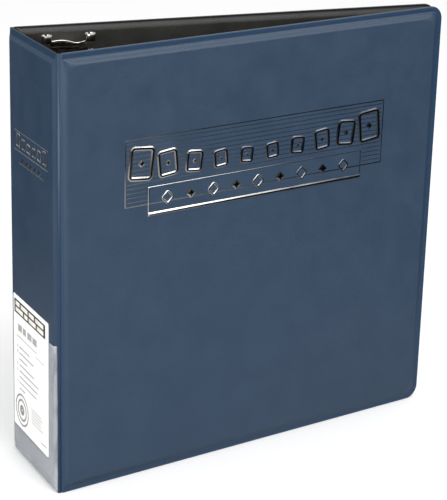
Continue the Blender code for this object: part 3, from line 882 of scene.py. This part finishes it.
CARD_CENTRE = (2.9, 68.8)
CARD_SIZE = (60.4, 95.4)
CARD_TILT = math.radians(0.5)
PRINT_LEVEL, SECOND_PRINT_LEVEL = 0.42, 0.44
POCKET_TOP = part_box("label_pocket")[1].z / MM + 0.5
FILM_THICKNESS = 0.18
FILM_DRAPE = 2.2  # how far past the card's edges the film stays lifted
POCKET_SLOPE = 0.055  # the film's open edge falls towards the back


def label_place():
    """Frame of the label: x across the spine from back to front, z up, y into the spine."""
    across = Matrix.Rotation(-math.pi / 2, 4, "Z")
    centre = Matrix.Translation((-CARD_CENTRE[0], 0, CARD_CENTRE[1]))
    return SPINE @ across @ centre @ Matrix.Rotation(CARD_TILT, 4, "Y")


def make_label():
    place = label_place()
    half = (CARD_SIZE[0] / 2, CARD_SIZE[1] / 2)
    bm = bmesh.new()
    plaque(bm, (0, 0), CARD_SIZE, 1.2, 0, 0.08, PRINT_LEVEL, 0.05)
    card = finish_mesh("label_sheet", bm, place, [PAPER, PAPER])
    on_body(card, "spine", "label_card", "label_card")

    def printed(bm, low, high, level=PRINT_LEVEL):
        centre = ((low[0] + high[0]) / 2, (low[1] + high[1]) / 2)
        plaque(bm, centre, (high[0] - low[0], high[1] - low[1]), 0, 0, level, level + 0.02, 0.02)

    left = -half[0]
    black = bmesh.new()
    printed(black, (left + 1.6, half[1] - 13.0), (half[0] - 4.6, half[1] - 3.0))
    header = finish_mesh("label_header", black, place, [BLACK_INK, BLACK_INK])
    on_body(header, "spine", "label_card")

    pale = bmesh.new()
    for row, widths in enumerate(((7, 12, 9, 14), (13, 6, 12, 11))):
        start = left + 3.8
        z = half[1] - 7.4 - row * 4.3
        for width in widths:
            printed(pale, (start, z), (start + width, z + 3.0), SECOND_PRINT_LEVEL)
            start += width + 2.2
    blocks = finish_mesh("label_header_blocks", pale, place, [PALE_INK, PALE_INK])
    on_body(blocks, "spine", "label_card")

    grey = bmesh.new()
    for block_low, block_high in ((8.0, 15.0), (16.5, 22.0), (24.5, 32.0), (33.5, 41.0)):
        printed(grey, (left + block_low, half[1] - 24.5), (left + block_high, half[1] - 19.5))
    printed(grey, (left + 5.0, half[1] - 29.0), (left + 42.0, half[1] - 28.2))
    printed(grey, (left + 38.0, half[1] - 32.4), (left + 54.0, half[1] - 31.7))
    bars = ((0, 18), (0, 25), (1, 14), (0, 26), (0, 34), (1, 32), (0, 30), (1, 10))
    for row, (indent, length) in enumerate(bars):
        z = half[1] - 36.5 - row * 4.3
        if not indent:
            printed(grey, (left + 6.0, z), (left + 7.6, z + 1.6))
        printed(grey, (left + 10.0, z + 0.1), (left + 10.0 + length, z + 1.3))
    for row in range(5):
        z = 13.0 - half[1] + row * 2.4
        printed(grey, (left + 31.0, z), (left + 51.0 - (row % 3) * 2.0, z + 0.9))
    printed(grey, (half[0] - 13.0, 5.0 - half[1]), (half[0] - 3.0, 6.2 - half[1]))
    lines = finish_mesh("label_lines", grey, place, [GREY_INK, GREY_INK])
    on_body(lines, "spine", "label_card")

    seal = bmesh.new()
    for outer, inner in ((11.6, 10.2), (8.0, 6.4), (3.8, 0.8)):
        profile = [(inner, 0.0), (inner, 0.02), (outer, 0.02), (outer, 0.0)]
        ring = lathe(profile, (0, 0, 0), (0, 0, 1))
        mesh = bpy.data.meshes.new("seal_ring")
        ring.to_mesh(mesh)
        ring.free()
        seal.from_mesh(mesh)
        bpy.data.meshes.remove(mesh)
    stand = Matrix.Translation((left + 14.2, 0, 14.6 - half[1])) @ Matrix.Rotation(math.pi / 2, 4, "X")
    bmesh.ops.transform(seal, matrix=stand @ Matrix.Translation((0, 0, PRINT_LEVEL)), verts=seal.verts)
    stamp = finish_mesh("label_seal", seal, place, [SEAL_INK])
    on_body(stamp, "spine", "label_card")


def make_pocket():
    """Clear film over the lower spine, draped over the card's edges and welded at the sides and bottom."""
    bm = bmesh.new()
    half = SPINE_HALF - 0.5
    low = 1.2
    clinging = bm.verts.layers.float.new("clinging")
    made = bmesh.ops.create_grid(bm, x_segments=64, y_segments=80, size=0.5)["verts"]
    for vert in made:
        y = vert.co.x * 2 * half
        z = low + (vert.co.y + 0.5) * (POCKET_TOP - y * POCKET_SLOPE - low)
        side = max(0.0, 1 - (SPINE_HALF - abs(y)) / SPINE_SIDE_ROLL)
        foot = max(0.0, FLANGE + 1.8 - z)
        sunk = max(SPINE_SIDE_DEPTH * side**1.3, min(SPINE_FLANGE_DEPTH, 0.03 * foot**2))
        in_card = min(
            y - (CARD_CENTRE[0] - CARD_SIZE[0] / 2) + FILM_DRAPE,
            (CARD_CENTRE[0] + CARD_SIZE[0] / 2) - y + FILM_DRAPE,
            z - (CARD_CENTRE[1] - CARD_SIZE[1] / 2) + FILM_DRAPE,
        )
        lift = min(1.0, max(0.0, in_card / 3.0))
        lift = lift * lift * (3 - 2 * lift) * 0.5
        vert[clinging] = lift * 2
        wave = 0.07 * math.sin(y * 0.21 + z * 0.05) * math.sin(z * 0.09 + 1.0)
        vert.co = (sunk - 0.22 - lift - abs(wave), y, z)
    face_outwards(bm, (-1, 0, 0))
    film = finish_mesh("label_film", bm, SPINE, [FILM])
    on_body(wall(film, FILM_THICKNESS), "spine", "clear_film", "label_pocket")


# Ring mechanism


def polished_copy(node, name, body, finish):
    """A welded, smoothly shaded copy of a frame node, shown in its place."""
    bm = bmesh.new()
    bm.from_mesh(frame["nodes"][node].data)
    bmesh.ops.remove_doubles(bm, verts=bm.verts, dist=0.00001)
    bmesh.ops.dissolve_limit(
        bm, angle_limit=math.radians(0.5), verts=bm.verts, edges=bm.edges, use_dissolve_boundaries=False
    )
    made = finish_mesh(name, bm, Matrix.Scale(1 / MM, 4), [finish])
    return on_body(made, body, "nickel_steel", node)


def make_ring_half(name, node, body, knots):
    """A bent wire through knots of (a, h, handle before, handle after), at its node's height."""
    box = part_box(node)
    z = (box[0].z + box[1].z) / 2 / MM
    curve = bpy.data.curves.new(name + "_path", "CURVE")
    curve.dimensions = "3D"
    curve.bevel_depth = RING_WIRE / 2
    curve.bevel_resolution = 8
    curve.resolution_u = 20
    curve.use_fill_caps = True
    spline = curve.splines.new("BEZIER")
    spline.bezier_points.add(len(knots) - 1)
    for point, (a, h, before, after) in zip(spline.bezier_points, knots):
        point.handle_left_type = "FREE"
        point.handle_right_type = "FREE"
        point.co = (a, h, z)
        point.handle_left = (a + before[0], h + before[1], z)
        point.handle_right = (a + after[0], h + after[1], z)
    wire = bpy.data.objects.new(name + "_path", curve)
    bpy.context.scene.collection.objects.link(wire)
    bpy.context.view_layer.update()
    mesh = bpy.data.meshes.new_from_object(wire.evaluated_get(bpy.context.evaluated_depsgraph_get()))
    bpy.data.objects.remove(wire)
    bm = bmesh.new()
    bm.from_mesh(mesh)
    bpy.data.meshes.remove(mesh)
    bmesh.ops.remove_doubles(bm, verts=bm.verts, dist=0.001)
    bmesh.ops.recalc_face_normals(bm, faces=bm.faces)
    ring = finish_mesh(name, bm, MECHANISM, [NICKEL])
    on_body(soften(ring, 0.25), body, "nickel_steel", node)


def make_rings():
    tip = 0.15
    curved = [
        (-8.0, 3.9, (0, -2), (0, 9)),
        (-19.5, 27.0, (0, -10), (0, 10)),
        (-tip, 45.5, (-11, 0), (2, 0)),
    ]
    straight = [
        (8.0, 3.9, (0, -2), (0.8, 9)),
        (11.5, 36.5, (-0.8, -9), (0.45, 5)),
        (tip + 2.5, 45.5, (5, 0), (-0.8, 0)),
        (tip, 45.5, (0.8, 0), (-1, 0)),
    ]
    for row in ("top", "middle", "bottom"):
        make_ring_half("curved_wire_" + row, "curved_ring_" + row, "curved_rings", curved)
        make_ring_half("straight_wire_" + row, "straight_ring_" + row, "straight_rings", straight)


def make_booster(name, node, end):
    """Thumb lever: a wavy plate rising off the housing's end, with a curled ear at each side."""
    pivot_z = JOINTS[node + "_hinge"]["pos_m"][2] / MM
    rows = (
        (-3.8, 0.95, 9.5),  # distance outwards from the pivot, height, half width
        (0.0, 1.0, 9.5),
        (3.0, 1.9, 9.6),
        (5.0, 4.4, 10.6),
        (6.8, 8.0, 13.6),
        (8.3, 11.2, 15.4),
        (9.6, 13.8, 16.0),
    )
    across = 20
    bm = bmesh.new()
    along, height, half = rows[0]
    line = [
        bm.verts.new((half * (2 * i / across - 1), height, pivot_z + end * along)) for i in range(across + 1)
    ]
    edges = [bm.edges.new(pair) for pair in zip(line, line[1:])]
    for along, height, half in rows[1:]:
        edges, line = raise_line(bm, edges, line)
        for i, vert in enumerate(line):
            share = 2 * i / across - 1
            wave = max(0.0, height - 3.0) / 10.8
            hollow = math.exp(-((share - 0.35) ** 2) / 0.09) * 1.9
            hump = math.exp(-((share + 0.4) ** 2) / 0.12) * 0.9
            dip = (hollow - hump) * wave
            vert.co = (share * half - wave * 0.8, height - dip * 0.8, pivot_z + end * (along - dip))
    face_outwards(bm, (0, 0, end))
    plate = finish_mesh(name, bm, MECHANISM, [NICKEL], 60)
    wall(plate, 0.7).modifiers["wall"].offset = 0.0
    on_body(soften(plate, 0.2), node, "nickel_steel", node)

    for side, label in ((-1, "inner"), (1, "outer")):
        turns = 20
        points = []
        for step in range(turns + 1):
            angle = math.pi * (1.42 - 1.86 * step / turns)
            across_at = side * (14.4 + 3.1 * math.cos(angle)) - 1.2
            points.append((across_at, 13.0 + 2.8 * math.sin(angle), pivot_z + end * 8.6))
        ear = raise_strip(points, end * 5.2)
        face_outwards(ear, (0, 1, 0))
        curl = finish_mesh(name + "_" + label + "_ear", ear, MECHANISM, [NICKEL], 60)
        wall(curl, 0.9).modifiers["wall"].offset = 0.0
        on_body(soften(curl, 0.2), node, "nickel_steel")


def make_rivet(name, node):
    """A tubular rivet: a low dome on the outside, and a rolled end on the housing."""
    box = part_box(node)
    z = (box[0].z + box[1].z) / 2 / MM
    outer = (LINER_CROWN_V + 0.3) - (SKIN_CROWN_V - 0.3)
    crown = 9.75
    profile = [(0.0, -outer - 0.9), (1.2, -outer - 1.0), (1.9, -outer - 1.3), (3.0, -outer - 1.15)]
    profile += [(3.9, -outer - 0.8), (4.45, -outer - 0.35), (4.6, -outer), (2.0, -outer)]
    profile += [(2.0, crown), (3.3, crown), (3.4, crown + 0.3), (3.0, crown + 0.85), (2.2, crown + 1.1)]
    profile += [(1.5, crown + 0.9), (1.2, crown + 0.3), (0.0, crown + 0.2)]
    bm = lathe(profile, (0, 0, z), (0, 1, 0))
    bmesh.ops.recalc_face_normals(bm, faces=bm.faces)
    on_body(finish_mesh(name, bm, MECHANISM, [NICKEL]), "back_cover", "nickel_steel", node)


def make_mechanism():
    polished_copy("ring_housing", "housing", "back_cover", NICKEL)
    polished_copy("curved_side_blade", "curved_blade", "curved_rings", NICKEL)
    polished_copy("straight_side_blade", "straight_blade", "straight_rings", NICKEL)
    make_rings()
    for level, end in (("upper", 1), ("lower", -1)):
        make_booster(level + "_thumb_lever", level + "_booster", end)
        make_rivet(level + "_tube_rivet", level + "_rivet")
        polished_copy(level + "_booster_pin", level + "_lever_pin", "back_cover", NICKEL)


# Stage


LIGHTS = (
    ("softbox_above", (0.35, -1.25, 1.45), (1.8, 1.0), 17.0),  # name, place, size, watts
    ("window_left", (-1.2, -0.95, 0.45), (1.2, 0.8), 14.0),
    ("strip_right", (1.5, -1.2, 0.9), (0.5, 1.0), 3.0),
)
CAMERA_ANGLES = (-28.044, 19.746, 1.613)  # azimuth, elevation, tilt
CAMERA_PLACE = (-0.5569, -1.0244, 0.5539)
CAMERA_LENS = 130.21
SENSOR_WIDTH = 36.0


def make_stage():
    bm = bmesh.new()
    bmesh.ops.create_circle(bm, cap_ends=True, segments=96, radius=6000)
    floor = finish_mesh("studio_floor", bm, Matrix.Translation((0, 0, -0.2)), [make_floor_finish()])

    make_world()
    target = Vector((0, 0, MIDDLE_Z * MM))
    for name, place, size, power in LIGHTS:
        data = bpy.data.lights.new(name, "AREA")
        data.shape = "RECTANGLE"
        data.size, data.size_y = size
        data.energy = power
        lamp = bpy.data.objects.new(name, data)
        lamp.location = place
        lamp.rotation_mode = "QUATERNION"
        lamp.rotation_quaternion = (target - lamp.location).to_track_quat("-Z", "Y")
        bpy.context.scene.collection.objects.link(lamp)


def make_world():
    """Even white light; in reflections, a bright upper half over a dark lower half."""
    world = bpy.data.worlds.new("studio")
    world.use_nodes = True
    shader = Shader(world.node_tree)
    direction = shader.node("ShaderNodeTexCoord").outputs["Generated"]
    height = shader.node("ShaderNodeSeparateXYZ", {0: direction}).outputs["Z"]
    mirrored = shader.remap(height, -0.05, 0.35, 0.10, 0.95)
    path = shader.node("ShaderNodeLightPath").outputs
    strength = shader.node("ShaderNodeMix", {"Factor": path["Is Glossy Ray"], "A": 0.88, "B": mirrored})
    bare = shader.node("ShaderNodeMix", {"Factor": path["Is Camera Ray"], "A": strength.outputs[0], "B": 1.0})
    world.node_tree.links.new(bare.outputs[0], world.node_tree.nodes["Background"].inputs["Strength"])
    world.node_tree.nodes["Background"].inputs["Color"].default_value = (1.0, 1.0, 1.0, 1)
    bpy.context.scene.world = world


def make_camera():
    """Long lens from the left of the front cover, a little above it, with the horizon slightly tilted."""
    azimuth, elevation, tilt = (math.radians(angle) for angle in CAMERA_ANGLES)
    level = Vector((math.cos(azimuth), math.sin(azimuth), 0))
    back = Vector((level.y, -level.x, 0)) * math.cos(elevation) + Vector((0, 0, math.sin(elevation)))
    upright = back.cross(level)
    right = level * math.cos(tilt) + upright * math.sin(tilt)
    up = upright * math.cos(tilt) - level * math.sin(tilt)
    data = bpy.data.cameras.new("camera")
    data.lens = CAMERA_LENS
    data.sensor_width = SENSOR_WIDTH
    camera = bpy.data.objects.new("camera", data)
    turn = Matrix((right, up, back)).transposed().to_4x4()
    camera.matrix_world = Matrix.Translation(CAMERA_PLACE) @ turn
    bpy.context.scene.collection.objects.link(camera)
    bpy.context.scene.camera = camera


def main():
    make_cover("front", FRONT, "front_cover")
    make_cover("back", BACK, "back_cover")
    make_spine()
    make_hinge("front", -1)
    make_hinge("back", 1)
    make_front_foil()
    make_spine_foil()
    make_label()
    make_pocket()
    make_mechanism()
    make_stage()
    make_camera()
    bpy.context.scene.view_settings.view_transform = "Standard"


main()
